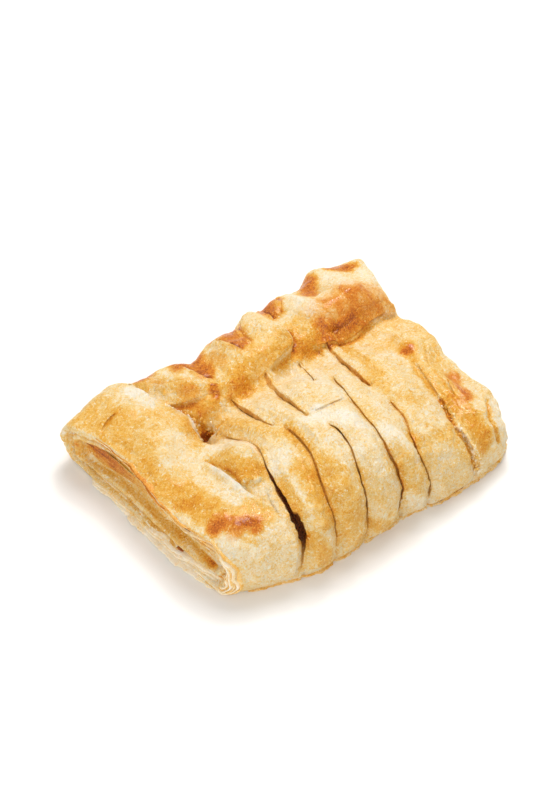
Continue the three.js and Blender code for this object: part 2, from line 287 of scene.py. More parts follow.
def baked_finish(name, bump_mm, own_values):
    """A finish of the dough that reads these of the five values from the mesh; the others are none."""
    finish = bpy.data.materials.new(name)
    finish.use_nodes = True
    tree = finish.node_tree
    shader = tree.nodes["Principled BSDF"]
    group = add_node(tree, "ShaderNodeGroup", node_tree=baked)
    for key in own_values:
        own = add_node(tree, "ShaderNodeAttribute", attribute_name=key)
        tree.links.new(own.outputs["Fac"], group.inputs[key])
    places = add_node(tree, "ShaderNodeTexCoord")
    tree.links.new(places.outputs["Object"], group.inputs["Place"])
    relief = add_node(tree, "ShaderNodeBump")
    relief.inputs["Strength"].default_value = 1.0
    relief.inputs["Distance"].default_value = bump_mm * MM
    tree.links.new(group.outputs["Height"], relief.inputs["Height"])
    tree.links.new(relief.outputs["Normal"], shader.inputs["Normal"])
    tree.links.new(group.outputs["Colour"], shader.inputs["Base Color"])
    tree.links.new(group.outputs["Roughness"], shader.inputs["Roughness"])
    tree.links.new(group.outputs["Gloss"], shader.inputs["Coat Weight"])
    shader.inputs["Coat Roughness"].default_value = 0.13
    shader.inputs["Specular IOR Level"].default_value = 0.22
    shader.inputs["Subsurface Weight"].default_value = 0.12
    shader.inputs["Subsurface Radius"].default_value = (1.0, 0.65, 0.4)
    shader.inputs["Subsurface Scale"].default_value = 0.9 * MM
    return finish


# ---- The crust ----
# The real one is a sheet of laminated dough, washed with egg, wrapped round a filling, crimped behind,
# slashed over the front and baked until its layers split. A finer copy of the solid has its skin raised,
# cut and pressed in along the lines of the baked sheet.
weld_mm = 0.005
crust_levels = 2


def select_only(piece):
    bpy.ops.object.select_all(action="DESELECT")
    piece.select_set(True)
    bpy.context.view_layer.objects.active = piece


select_only(frame["nodes"]["puff_pastry"])
bpy.ops.object.duplicate()
crust = bpy.context.object
crust.name = "crust"
crust.parent = None
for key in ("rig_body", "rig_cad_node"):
    del crust[key]
bpy.ops.object.mode_set(mode="EDIT")
bpy.ops.mesh.select_all(action="SELECT")
bpy.ops.mesh.remove_doubles(threshold=weld_mm * MM)
bpy.ops.mesh.tris_convert_to_quads(face_threshold=math.pi, shape_threshold=math.pi)
bpy.ops.object.mode_set(mode="OBJECT")
finer = crust.modifiers.new("finer", "SUBSURF")
finer.levels = crust_levels
finer.render_levels = crust_levels
bpy.ops.object.modifier_apply(modifier="finer")
bpy.ops.object.shade_smooth()


def places_of(piece):
    """The places of a mesh's vertices, in mm."""
    found = np.empty(len(piece.data.vertices) * 3)
    piece.data.vertices.foreach_get("co", found)
    return found.reshape(-1, 3) / MM


def normals_of(piece):
    found = np.empty(len(piece.data.vertices) * 3)
    piece.data.vertex_normals.foreach_get("vector", found)
    return found.reshape(-1, 3)


def move_to(piece, places):
    piece.data.vertices.foreach_set("co", (places * MM).ravel())
    piece.data.update()


def eased(low, high, value):
    share = np.clip((value - low) / (high - low), 0.0, 1.0)
    return share * share * (3.0 - 2.0 * share)


def cloud(places, size, seed):
    """Soft noise of about -1 to 1 whose features have the size, in mm: one number, or three."""
    shifted = places / np.array(size) + 19.7 * seed
    return 1.5 * np.array([noise.noise(place) for place in shifted.tolist()])


joins = np.empty(len(crust.data.edges) * 2, dtype=np.int64)
crust.data.edges.foreach_get("vertices", joins)
joins = joins.reshape(-1, 2)
join_count = np.bincount(joins.ravel(), minlength=len(crust.data.vertices))


def evened(values, times):
    """Values of the crust's vertices, each made the mean of its neighbours a number of times."""
    for _ in range(times):
        columns = [
            np.bincount(joins[:, 0], column[joins[:, 1]], len(join_count))
            + np.bincount(joins[:, 1], column[joins[:, 0]], len(join_count))
            for column in values.T
        ]
        values = np.stack(columns, axis=1) / join_count[:, None]
    return values


# Lines on the skin are given as it lies flat: x along the pastry, and u from the seam to the front,
# which is y on top and runs on round the front fold.
fold_y_mm = -36.0
fold_z_mm = 12.0
fold_radius_mm = 24.0
fine_step_mm = 0.33
corner_rounds = 50
soft_normal_rounds = 60
skin = places_of(crust)
skin_out = evened(normals_of(crust), soft_normal_rounds)
skin_out /= np.linalg.norm(skin_out, axis=1)[:, None]


def laid_flat(places):
    turned = np.arctan2(fold_y_mm - places[:, 1], places[:, 2] - fold_z_mm)
    round_fold = fold_y_mm - fold_radius_mm * turned
    return np.stack([places[:, 0], np.where(places[:, 1] < fold_y_mm, round_fold, places[:, 1])], axis=1)


flat = laid_flat(skin)
# The relief keeps off the underside and the two ends, and wander makes its lines uneven.
underside = (skin_out[:, 2] < -0.5) & (skin[:, 2] < 3.0)
on_skin = eased(0.85, 0.6, np.abs(skin_out[:, 0])) * ~underside
wander = 0.6 * cloud(skin, 4.5, 1) + 0.4 * cloud(skin, 1.8, 2)


def near(line):
    """How far each place of the skin is from a line, with its left side positive, and its share along it."""
    points = np.array(line, dtype=float)[:, :2]
    if len(points) == 1:
        return np.linalg.norm(flat - points[0], axis=1), np.full(len(flat), 0.5)
    nearest = np.full(len(flat), np.inf)
    signed = np.zeros(len(flat))
    run = np.zeros(len(flat))
    before = 0.0
    for start, end in zip(points[:-1], points[1:]):
        step = end - start
        length = np.linalg.norm(step)
        share = np.clip((flat - start) @ step / length**2, 0.0, 1.0)
        away = flat - start - share[:, None] * step
        distance = np.linalg.norm(away, axis=1)
        side = np.where(step[0] * away[:, 1] - step[1] * away[:, 0] < 0.0, -1.0, 1.0)
        closer = distance < nearest
        nearest = np.where(closer, distance, nearest)
        signed = np.where(closer, side * distance, signed)
        run = np.where(closer, before + share * length, run)
        before += length
    return signed, run / before


def travelled(points):
    """How far each point of a line lies from its start, along it."""
    return np.concatenate([[0.0], np.cumsum(np.linalg.norm(np.diff(points, axis=0), axis=1))])


def along_mean(values, times):
    """Values along a line, made soft a number of times with those of the points beside them."""
    for _ in range(times):
        values[1:-1] = (values[:-2] + 2.0 * values[1:-1] + values[2:]) / 4.0
    return values


def curved(line, step):
    """A line at even steps, with its corners rounded."""
    points = np.array(line, dtype=float)
    passed = travelled(points[:, :2])
    even = np.arange(0.0, passed[-1], fine_step_mm)
    fine = np.stack([np.interp(even, passed, column) for column in points.T], axis=1)
    return along_mean(fine, corner_rounds)[:: max(1, round(step / fine_step_mm))]


def whole_part(share, ends):
    """1 along a line, fading to 0 over a share of it at both its ends."""
    return eased(0.0, ends, share) * eased(1.0, 1.0 - ends, share)


# The five slashes, in the stretches that stayed open, along points of x, u, how wide it is open there, how
# much higher the strip beyond it stands, and how much painted shade lies inside it. The first gapes, and the
# others closed to cracks as the strips swelled. The last row is a short crack beside the square of sheet
# left proud.
slashes = [
    [(-27.5, 12, 0.1, 0.4, 0.1), (-26, 1, 0.1, -0.5, 0.2), (-25.5, -8, 0.1, -0.9, 0.3),
     (-27, -15, 0.2, -0.9, 0.7), (-30, -22, 0.4, 0, 0.9), (-32, -32, 1.3, 1.2, 1),
     (-33, -39, 1.7, 1.6, 1), (-33.5, -49, 2.1, 1.8, 1), (-34, -60, 2.0, 1.2, 1),
     (-34.3, -65, 0.6, 0.5, 0.7), (-36, -72, 0.1, 0.3, 0.2), (-38, -86, 0.1, 0.2, 0)],
    [(-15.5, 20, 0.15, 0.5, 0.6), (-15, 14, 0.3, 1.6, 0.6), (-14.7, 9, 0.35, 2.2, 0.4),
     (-16, 1, 0.2, 2.0, 0.2), (-15.7, -4, 0.1, 0.8, 0.1), (-14, -9, 0.06, 0.3, 0)],
    [(-14, -9, 0.06, 0.3, 0), (-13, -13, 0.08, 0.4, 0), (-13.3, -19, 0.12, 0.7, 0.1),
     (-14, -27, 0.15, 0.8, 0.1), (-18, -38, 0.15, 0.6, 0.1), (-20, -46, 0.12, 0.4, 0.1),
     (-21, -60, 0.1, 0.1, 0.3), (-21.5, -74, 0.1, -0.3, 0.1), (-22, -86, 0.08, -0.3, 0.1)],
    [(2, 20, 0.2, 0.6, 0.1), (1, 15, 0.4, 2.4, 0.1), (-1.5, 6, 0.5, 3.2, 0.2), (-3, -3, 0.3, 2.2, 0.3),
     (-4.2, -10, 0.1, 0.8, 0.1), (-4, -15, 0.06, 0.2, 0)],
    [(-2, -21, 0.08, 0.3, 0.1), (-0.5, -27, 0.3, 0.4, 0.8), (-0.8, -30, 0.35, 0.4, 1),
     (-1.5, -35, 0.15, 0.3, 0.1), (-4, -43, 0.15, 0.4, 0.4), (-5, -48, 0.3, 0.4, 0.9),
     (-5.6, -53, 0.15, 0.3, 0.3), (-6, -60, 0.25, 0.2, 0.8), (-6.6, -70, 0.1, 0.2, 0.2),
     (-7.5, -86, 0.08, 0.2, 0.2)],
    [(21, 3, 0.08, 0.6, 0), (18, -6, 0.1, 0.6, 0.1), (16, -12, 0.1, 0.3, 0.1), (14, -19, 0.1, 0.3, 0),
     (12.5, -28, 0.1, 0.4, 0), (12, -35, 0.1, 0.6, 0.1), (10.5, -44, 0.2, 1.3, 0.1),
     (10.5, -54, 0.2, 1.4, 0.3), (10.5, -66, 0.2, 0.9, 0.8), (9.5, -75, 0.15, 0.4, 0.5),
     (9, -86, 0.1, 0.2, 0.3)],
    [(32, 20, 0.2, 0.8, 0.6), (32, 15, 0.3, 2.0, 0.5), (30.5, 5, 0.35, 2.8, 0.3),
     (29, -4, 0.3, 2.2, 0.4), (28.5, -11, 0.15, 0.8, 0.6), (28.4, -14, 0.06, 0.3, 0.1)],
    [(28.5, -22, 0.08, 0.5, 0), (28, -28, 0.2, 1.2, 0.2), (26.5, -36, 0.3, 1.6, 0.5),
     (23.5, -43, 0.2, 1.0, 0.2), (21.8, -52, 0.25, 1.0, 0.5), (22.5, -62, 0.2, 0.8, 0.2),
     (23, -72, 0.15, 0.4, 0.5), (23, -86, 0.1, 0.2, 0.3)],
    [(17.5, 18, 0.1, 0.3, 0.5), (16.5, 11, 0.12, 0.5, 0.4), (12, 1, 0.06, 0.3, 0.1)],
]
# The solid's slashes are wide channels: they are closed first, and cut again as narrow as the real ones.
channel_half_mm = 4.0
closing_rounds = 150
channelled = np.zeros(len(skin), dtype=bool)
for line in slashes:
    channelled |= np.abs(near(line)[0]) < channel_half_mm
channelled &= ~underside & (skin[:, 2] > 1.5)
for _ in range(closing_rounds):
    skin[channelled] = evened(skin, 1)[channelled]
flat = laid_flat(skin)

lift = np.zeros(len(skin))
cut_in = np.zeros(len(skin))
slit = np.zeros(len(skin))
slit_shade = np.zeros(len(skin))
for line in slashes:
    points = curved(line, 2.0)
    signed, share = near(points)
    shares = np.linspace(0.0, 1.0, len(points))
    gap, step, shade_inside = [np.interp(share, shares, column) for column in points.T[2:]]
    whole = whole_part(share, 0.06)
    off = signed + 0.1 * wander
    lift += step * whole * eased(0.0, 1.0, off) * np.exp(-np.maximum(off, 0.0) / 5.0)
    lift -= 0.7 * whole * np.exp(-((off / 2.8) ** 2))
    open_half = 0.7 + 0.5 * gap
    cut_in -= (0.35 + 1.3 * gap) * whole * np.exp(-((off / open_half) ** 4))
    closeness = whole * np.clip(1.0 - 0.5 * np.abs(off) / open_half, 0.0, 1.0)
    closeness *= np.abs(off) < 2.0 * open_half
    # Each place takes the painted shade inside the slash it lies closest to.
    slit_shade = np.where(closeness > slit, shade_inside, slit_shade)
    slit = np.maximum(slit, closeness)

# Torn and lapped edges of the sheet, whose high side stands over the low one, pressed in at its foot: (rise,
# reach, foot, ragged, high side: 1 the left of the line and -1 its right, line).
laps = [
    (1.5, 3.0, 1.3, 1.1, -1,
     [(-41, 50), (-42.5, 41), (-42, 34), (-38, 28), (-34, 27), (-32, 23), (-32, 17)]),
    (0.8, 2.5, 1.0, 0.5, -1, [(-32, 18), (-30, 16), (-27, 14.5), (-23, 14)]),
    (1.2, 2.5, 1.2, 0.4, -1, [(-44, 1), (-42.5, -7), (-42, -15), (-41.5, -22), (-40, -28)]),
    (1.1, 2.5, 0.9, 0.8, 1, [(-41.5, -21), (-39, -21.5), (-36, -24), (-33.5, -23.5)]),
    (0.7, 2.5, 0.4, 0.4, -1, [(-41, -25), (-39, -31), (-36.5, -34.5)]),
    (0.9, 1.5, 0.8, 1.2, 1, [(-30, 21), (-27.5, 19), (-26, 17), (-27.5, 15)]),
    (0.8, 2.5, 0.8, 0.6, 1, [(-40, 36), (-38, 32), (-33, 30), (-28, 27), (-22, 25.5)]),
    (1.2, 3.0, 1.2, 0.5, -1, [(20, 33), (20.5, 28), (19.5, 24), (16, 21.5), (10, 20), (3, 19)]),
    (1.0, 3.5, 0.9, 0.5, 1, [(24, 20), (32, 18), (39, 16), (46, 16), (53, 17.5), (61, 18), (69, 16)]),
    (0.6, 2.5, 0.4, 0.4, 1, [(53, -10), (51, -18), (49, -28), (48, -36)]),
    (0.5, 2.0, 0.4, 0.4, 1, [(62, -3), (59, -13), (56, -24), (53, -36)]),
    (1.1, 3.0, 0.9, 1.1, 1, [(49, -29), (47, -36), (46, -45), (44.5, -54), (44.5, -69), (46.5, -82)]),
    (0.7, 2.5, 0.5, 0.4, 1, [(-66, 35), (-62, 37.5), (-58, 38), (-54, 37.5)]),
    (0.7, 3.5, 0.4, 0.4, -1, [(13, -15), (10, -17), (4, -17), (0, -15.5), (-3, -14)]),
    (0.5, 2.5, 0.5, 0.5, -1, [(-36, 46), (-34, 41), (-30, 37), (-24, 33), (-19, 30)]),
    (0.9, 1.5, 1.1, 0.35, -1, [(-21, 41), (-20, 36), (-19, 31), (-16, 29)]),
    (0.9, 1.5, 1.1, 0.35, -1, [(-5, 42), (-4, 35), (-1, 29)]),
    (0.7, 1.5, 0.9, 0.3, -1, [(14, 51), (8, 44), (4, 35), (4, 30)]),
    (0.9, 1.5, 1.1, 0.35, -1, [(21, 46), (22, 43), (22, 38)]),
    (0.7, 1.5, 0.9, 0.3, -1, [(32, 50), (29, 43), (25, 39)]),
    (0.8, 1.5, 0.9, 0.35, -1, [(36, 46), (34, 37), (37, 34), (45, 39)]),
]
# Each lap also leaves a paler torn rim and painted shade at its foot.
rim = np.zeros(len(skin))
foot_shade = np.zeros(len(skin))
for rise, reach, foot, ragged, high, line in laps:
    signed, share = near(line)
    signed = high * signed + ragged * wander
    whole = whole_part(share, 0.1)
    above = rise * eased(0.0, 0.9, signed) * np.exp(-np.maximum(signed, 0.0) / reach)
    below = foot * eased(0.3, -0.4, signed) * np.exp(np.minimum(signed, 0.0) / 1.3)
    lift += whole * (above - below)
    rim = np.maximum(rim, whole * rise * np.exp(-(((signed - 0.5) / 0.6) ** 2)))
    foot_shade = np.maximum(foot_shade, whole * foot * np.exp(-(((signed + 0.7) / 0.8) ** 2)))

# Creases and short cuts: (depth, width, line).
creases = [
    (1.3, 1.3, [(33, 21), (40, 18.5), (47, 18.5), (52, 19), (57, 19.5), (63, 20)]),
    (0.5, 0.6, [(38, 11), (36, 3), (35, -8)]),
    (0.9, 1.0, [(63.5, -47), (59.5, -57), (57.5, -65), (58, -75)]),
    (0.8, 1.2, [(-41, 50), (-41, 42), (-40.5, 35)]),
    (0.5, 0.8, [(-62.5, 12), (-63.5, 6), (-65.5, 1)]),
    (0.4, 0.8, [(-62, -7), (-64, -11)]),
    (0.5, 1.0, [(-66, 30), (-63, 24), (-62.5, 16)]),
    (0.5, 0.9, [(-19, 31), (-16, 26), (-11, 24)]),
    (0.9, 1.2, [(-24, 28), (-21, 24), (-17, 22)]),
]
for depth, width, line in creases:
    signed, share = near(line)
    cut_in -= depth * whole_part(share, 0.08) * np.exp(-(((signed + 0.3 * wander) / width) ** 2))

# Blisters and rolls that stand out of the skin: (rise, reach, line).
swells = [
    (1.6, 4.5, [(40, 27), (50, 28), (60, 25)]),
    (1.0, 3.5, [(5, 25), (13, 25)]),
    (0.9, 4.0, [(-12, 22), (-6, 20)]),
    (0.7, 3.5, [(-30, 38), (-25, 34)]),
    (1.0, 3.5, [(-34, -4), (-32, -14)]),
    (0.8, 4.0, [(-56, 20), (-50, 14)]),
    (0.6, 5.0, [(-56, -10), (-48, -24)]),
    (0.8, 2.4, [(62, -56), (62, -66), (61, -76)]),
    (0.5, 2.5, [(54, -4)]),
    (0.5, 4.0, [(42, -4), (40, -18)]),
]
for rise, reach, line in swells:
    lift += rise * np.exp(-((near(line)[0] / reach) ** 2))

skin = skin + (on_skin * lift)[:, None] * skin_out

# Where the edge all round stands out a little more or less than in the solid: (push, reach, from, to).
pushes = [
    ((-0.4, 2.6, 1.7), 7.0, (11, 42, 30), (26, 46, 24)),
    ((-0.2, 1.7, 1.0), 7.0, (44, 50, 19), (52, 52, 18)),
    ((-0.3, 2.2, 1.4), 5.0, (-3, 39, 30), (2, 42, 27)),
    ((-1.8, 1.3, 0.6), 7.0, (-71, 50, 14), (-70, 47, 17)),
    ((2.6, -2.0, 0.0), 7.0, (-70, 52, 0), (-70, 44, 0)),
    ((2.6, 0.0, 1.3), 9.0, (64, 9, 19), (62, -1, 21)),
    ((-3.0, 0.0, -1.4), 7.0, (62, -17, 23), (62, -24, 22)),
    ((1.3, 0.0, 0.3), 5.0, (68, 38, 27), (68, 36, 27)),
    ((-0.4, 1.8, 1.3), 5.5, (-19, 43, 26), (-13, 43, 25)),
]
for push, reach, start, end in pushes:
    start = np.array(start, dtype=float)
    along = np.array(end) - start
    share = np.clip((skin - start) @ along / (along @ along), 0.0, 1.0)
    away = np.linalg.norm(skin - start - share[:, None] * along, axis=1)
    skin = skin + np.exp(-((away / reach) ** 2))[:, None] * np.array(push)
move_to(crust, skin)

# The layers of the skin split and flake: flat patches with small stepped edges, closer on the bare dough.
flake_field = 1.4 * cloud(skin, (9.0, 6.0, 6.0), 5) + 0.9 * cloud(skin, 3.0, 6) + 0.3 * cloud(skin, 1.3, 7)
flake_steps = np.floor(2.0 * flake_field) + eased(0.35, 0.65, 2.0 * flake_field % 1.0)
blisters = 0.35 * cloud(skin, 9.0, 8) + 0.2 * cloud(skin, 4.0, 9) + 0.1 * cloud(skin, 1.8, 10)
bare = eased(-30.0, -46.0, flat[:, 1])
skin = skin + (~underside * (0.1 * (1.0 + 0.8 * bare) * flake_steps + blisters))[:, None] * normals_of(crust)
end_face = eased(0.45, 0.75, -normals_of(crust)[:, 0]) * (skin[:, 0] < -50.0)
end_sheets = cloud(skin, (40.0, 18.0, 1.5), 12) + 0.5 * cloud(skin, (30.0, 9.0, 0.9), 13)
skin[:, 0] -= 0.35 * end_face * end_sheets
corners = [tuple(face.vertices) for face in crust.data.polygons]
uncut = BVHTree.FromPolygons(skin.tolist(), corners)
skin = skin + (on_skin * cut_in)[:, None] * skin_out
skin[:, 2] = np.maximum(skin[:, 2], 0.0)
move_to(crust, skin)

# How far the dough browned, and in some strokes painted shade: (level, reach, strength, line), laid over one
# another like paint.
browned_and_shaded = np.full(len(skin), 0.24)
browning_and_shade = [
    # The pillow at the left, and its back corner.
    (0.48, 10, 0.9, [(-62, 44), (-60, 31), (-62, 18), (-62, 4)]),
    (0.42, 7, 0.8, [(-49, 26), (-39, 24), (-36, 17)]),
    (0.18, 5, 0.7, [(-54, 8), (-45, 4), (-47, -6)]),
    (0.5, 4, 0.8, [(-29, 24), (-37, 15), (-40, 7)]),
    (0.58, 2.5, 0.7, [(-60, 12), (-63, 2)]),
    (0.0, 2.5, 0.9, [(-46, 44), (-45, 36), (-44, 32)]),
    (0.5, 2.5, 0.7, [(-39, 49), (-37, 42)]),
    (0.1, 3, 0.7, [(-36, 39), (-32, 34)]),
    (0.62, 1.3, 0.8, [(-55, 38.5), (-62.5, 37.5), (-65, 36.5), (-66.5, 32)]),
    # The pillow's front, its toasted spots and the paler corner below them.
    (0.5, 6, 0.9, [(-61, -3), (-56, -14), (-50, -25), (-43, -35)]),
    (0.64, 4, 0.9, [(-62, -11), (-59, -14)]),
    (0.58, 3.5, 0.8, [(-60, -19), (-59, -26)]),
    (0.08, 4, 0.8, [(-47, -16), (-46, -24)]),
    (0.14, 2, 0.9, [(-41, -8), (-42, -16), (-41.5, -22)]),
    (0.72, 3.5, 1.0, [(-60, -28), (-56, -28), (-54, -32), (-55, -35)]),
    (0.7, 3.5, 1.0, [(-50, -34), (-47, -36), (-48, -40)]),
    (0.62, 2.5, 0.9, [(-55, -33), (-51, -36)]),
    (0.88, 1.8, 0.9, [(-52, -33), (-48, -35), (-47, -37)]),
    (0.88, 1.6, 0.9, [(-60, -28), (-57, -28)]),
    (0.5, 3, 0.8, [(-56, -38), (-53, -46)]),
    (0.12, 4, 0.9, [(-60, -36), (-57, -44), (-52, -53)]),
    # The blister, and the bare dough round it. Its lower side is browner, partly toast and partly painted
    # shade.
    (0.12, 4, 0.9, [(-39, 2), (-28, 5), (-29, -7)]),
    (0.5, 5, 0.9, [(-41, -6), (-40, -13), (-37, -18), (-33, -20)]),
    (0.6, 2.6, 0.9, [(-41, -12), (-40, -18), (-36, -20.5), (-32, -20)]),
    (0.2, 3, 1.0, [(-38, -26.5), (-35, -28), (-34, -34)]),
    (0.14, 1.3, 1.0, [(-43.5, -6), (-43, -14), (-42, -21), (-41, -26)]),
    # The square of sheet and the right panel.
    (0.16, 6, 0.95, [(12, 15), (13, -6), (13, -18)]),
    (0.34, 6, 0.8, [(42, 8), (55, 1), (62, -15)]),
    (0.12, 3.5, 0.9, [(46, 6), (49, -1)]),
    (0.28, 6, 0.8, [(34, -6), (41, -21)]),
    (0.46, 4, 0.8, [(63, -4), (57, -24), (52, -35)]),
    # The valley beside the pillow, and the foot of the roll.
    (0.46, 5, 0.8, [(-32, 39), (-26, 34), (-21, 28)]),
    (0.6, 3, 0.8, [(-28, 32), (-25, 27), (-29, 28)]),
    (0.48, 4, 0.9, [(-36, 31), (-31, 27), (-27, 25), (-23, 25), (-23, 21)]),
    (0.64, 1.6, 0.8, [(-36, 30), (-32, 29), (-29, 26)]),
    (0.66, 2.4, 1.0, [(-27, 23), (-28, 20), (-29, 18)]),
    (0.82, 2.2, 1.0, [(-19, 26), (-19, 23)]),
    # The small hole in the valley is near black brown, partly its own colour and partly painted shade in it.
    (0.98, 1.4, 1.0, [(-30, 17), (-28, 16)]),
    (0.62, 5, 0.9, [(-9, 23), (-8, 20), (-13, 20), (-5, 21)]),
    (0.72, 3, 0.8, [(-10, 21), (-7, 19)]),
    (0.48, 4, 0.8, [(-2, 20), (-2, 17)]),
    (0.46, 4, 0.8, [(-24, 19), (-24, 11), (-21, 6)]),
    (0.55, 2.5, 0.7, [(-9, 37), (-10, 31)]),
    (0.03, 1.4, 1.0, [(-33, 22), (-33, 19), (-33.5, 17)]),
    (0.12, 2.4, 0.8, [(-27, 42), (-23, 36), (-20, 31)]),
    # The roll and its toasted end.
    (0.44, 7, 0.8, [(-7, 31), (6, 28), (18, 27)]),
    (0.52, 4, 0.8, [(1, 25), (7, 21), (16, 22)]),
    (0.32, 5, 0.6, [(9, 41), (9, 30)]),
    (0.62, 5, 0.9, [(22, 26), (22, 22), (27, 21)]),
    (0.7, 2.5, 0.8, [(19, 20.5), (23, 20), (28, 19)]),
    (0.47, 7.5, 0.95, [(36, 28), (46, 24), (51, 28), (60, 22)]),
    (0.66, 2.5, 0.8, [(38, 30), (44, 27), (43, 23)]),
    (0.68, 2.5, 0.8, [(55, 29), (57, 25)]),
    (0.36, 4, 0.8, [(62, 27), (65, 21)]),
    (0.86, 3.6, 1.0, [(38, 19), (44, 19), (51, 20)]),
    (0.92, 2.0, 0.9, [(38, 20), (44, 19.5)]),
    (0.78, 4, 1.0, [(32, 24), (34, 20)]),
    (0.76, 3, 0.9, [(51, 31), (50, 26)]),
    (0.66, 2.5, 0.8, [(40, 17), (47, 17)]),
    (0.66, 2.6, 0.95, [(51, 21), (58, 20.5), (64, 20)]),
    # This pale fleck on the crease is a painted highlight of the glossy egg wash.
    (0.3, 1.4, 0.6, [(62, 20.5), (64.5, 19.5)]),
    (0.46, 4, 0.7, [(26, 31), (28, 26)]),
    # The crimps.
    (0.15, 4, 0.9, [(-26, 41)]),
    (0.3, 3.5, 0.9, [(-6, 44), (-5, 36), (-2, 30)]),
    (0.24, 3.5, 0.8, [(16, 48), (14, 37), (17, 31)]),
    (0.13, 4, 0.9, [(34, 47), (33, 37), (34, 31)]),
    (0.15, 4, 0.9, [(53, 50), (55, 43), (54, 34)]),
    (0.15, 4, 0.9, [(67, 40), (65, 33)]),
    # Spots and streaks of the right panel.
    (0.36, 8, 0.8, [(50, 7), (62, 9), (58, -2)]),
    (0.6, 3, 0.9, [(54, -1), (54, -5)]),
    (0.76, 1.2, 1.0, [(52.5, -3), (54, -5), (55, -3.5)]),
    (0.54, 3, 0.9, [(53, -10), (51, -18), (50, -27)]),
    (0.46, 3, 0.7, [(60, -16), (57, -27)]),
    (0.46, 4, 0.7, [(30, -23), (38, -28)]),
    (0.48, 2.5, 0.8, [(68, 2), (68, -3)]),
    (0.46, 3.5, 0.8, [(30, -9), (31, -17)]),
    # The band along the shut end. Low down and in the groove beside its torn edge it is browner, partly
    # toast and partly painted shade.
    (0.62, 2.6, 1.0, [(64, -23), (59, -31), (57, -39)]),
    (0.8, 1.4, 0.9, [(58, -32), (56, -38)]),
    (0.6, 5, 0.95, [(52, -34), (51, -49), (51, -61), (49, -69)]),
    (0.62, 2.8, 0.9, [(51, -64), (50, -68)]),
    (0.78, 1.3, 1.0, [(48.5, -31), (47, -35.5), (45.5, -45.5), (44, -54.5)]),
    (0.4, 5, 0.8, [(38, -54), (41, -62), (44, -71)]),
    (0.52, 1.5, 0.9, [(43.5, -52), (43.5, -66), (45.5, -78)]),
    (0.5, 3, 0.8, [(32, -49), (36, -52), (41, -50)]),
    (0.13, 3.5, 0.9, [(66, -53), (62, -63), (62, -76)]),
    (0.6, 0.9, 1.0, [(63.5, -48), (58.5, -60), (58, -73)]),
    # The strips over the front, from the left. Low down most are browner, partly toast and partly painted
    # shade.
    (0.42, 4, 0.8, [(-21, 2), (-16, -12)]),
    (0.12, 5, 0.9, [(-25, -20), (-27, -38)]),
    (0.5, 4.6, 0.9, [(-21, -30), (-22, -47), (-24, -57)]),
    (0.54, 4, 0.9, [(-32, -61), (-28, -79)]),
    (0.72, 1.6, 0.9, [(-33, -60)]),
    (0.5, 2, 0.8, [(-29, -30), (-32, -49)]),
    (0.5, 3, 0.9, [(-13, -14), (-15, -29), (-17, -39)]),
    (0.52, 7, 0.9, [(-17, -36), (-15, -52), (-13, -64)]),
    (0.18, 4, 0.9, [(-7, -16), (-5, -32)]),
    (0.44, 5, 0.8, [(-21, -69), (-11, -81)]),
    (0.03, 5, 0.95, [(-3, -16), (10, -33)]),
    (0.16, 5, 0.8, [(-1, -34), (1, -46)]),
    (0.33, 5, 0.9, [(-5, -49), (6, -70)]),
    (0.54, 4, 0.8, [(-6, -73), (4, -84)]),
    (0.66, 1.5, 0.8, [(2, -73)]),
    (0.3, 4, 0.8, [(14, -19), (15, -33)]),
    (0.1, 4, 0.9, [(13, -36), (18, -45)]),
    (0.38, 5, 0.9, [(11, -49), (19, -68)]),
    (0.55, 1.6, 0.9, [(12, -51), (11, -64)]),
    (0.16, 4, 0.8, [(11, -72), (21, -84)]),
    (0.54, 3.5, 0.9, [(23, -44), (25, -55)]),
    (0.3, 7, 0.8, [(25, -56), (36, -81)]),
    (0.5, 2.5, 0.9, [(37, 13), (36, 0), (34, -10)]),
]
# Where it browned without egg wash, and redder, in the same terms.
reddened = np.zeros(len(skin))
reddening = [
    (0.8, 3.5, 0.9, [(-60, -28), (-56, -28), (-54, -32), (-55, -35)]),
    (0.8, 3.5, 0.9, [(-50, -34), (-47, -36), (-48, -40)]),
    (0.4, 3, 0.8, [(-28, 32), (-25, 27), (-29, 28)]),
    (0.5, 2.5, 0.7, [(-34, 45), (-33, 41)]),
    (0.4, 2.5, 0.7, [(-9, 37), (-10, 31)]),
    (0.7, 8, 0.95, [(38, 28), (46, 25), (51, 28), (60, 24)]),
    (0.3, 3.6, 0.9, [(36, 19), (44, 19), (50, 19)]),
    (0.5, 2.6, 0.9, [(54, 21), (58, 20.5), (64, 20)]),
    (0.8, 1.3, 1.0, [(52.5, -3), (54, -5), (55, -3.5)]),
    (0.9, 2.6, 1.0, [(64, -23), (59, -31), (57, -39)]),
    (0.6, 1.0, 1.0, [(-26.5, 2), (-26, -7), (-28, -15)]),
]
# The deep pockets between two crimps, behind: each is browned and red alike.
pockets = [
    (5.0, [(-22, 43), (-14, 45), (-16, 37), (-17, 34)]), (5.0, [(-2, 46), (4, 44), (0, 34)]),
    (4.6, [(28, 54), (28, 48), (23, 42)]), (4.2, [(47, 54), (48, 49), (43, 43)]),
    (3.0, [(60, 50), (62, 46), (64, 43)]), (3.5, [(-37, 52), (-33, 50)]),
]


def paint(values, level, reach, strength, line, where=1.0):
    distance = np.abs(near(line)[0]) + 0.34 * reach * wander
    values += (level - values) * strength * where * eased(1.4 * reach, 0.4 * reach, distance)


for level, reach, strength, line in browning_and_shade:
    paint(browned_and_shaded, level, reach, strength, line)
for level, reach, strength, line in reddening:
    paint(reddened, level, reach, strength, line)
upper = eased(12.0, 23.0, skin[:, 2])
for reach, line in pockets:
    paint(browned_and_shaded, 0.76, reach, 1.0, line, upper)
    paint(reddened, 0.4, reach, 1.0, line, upper)
browned_and_shaded += 0.2 * eased(0.4, 0.8, skin_out[:, 1]) * (1.0 - upper)

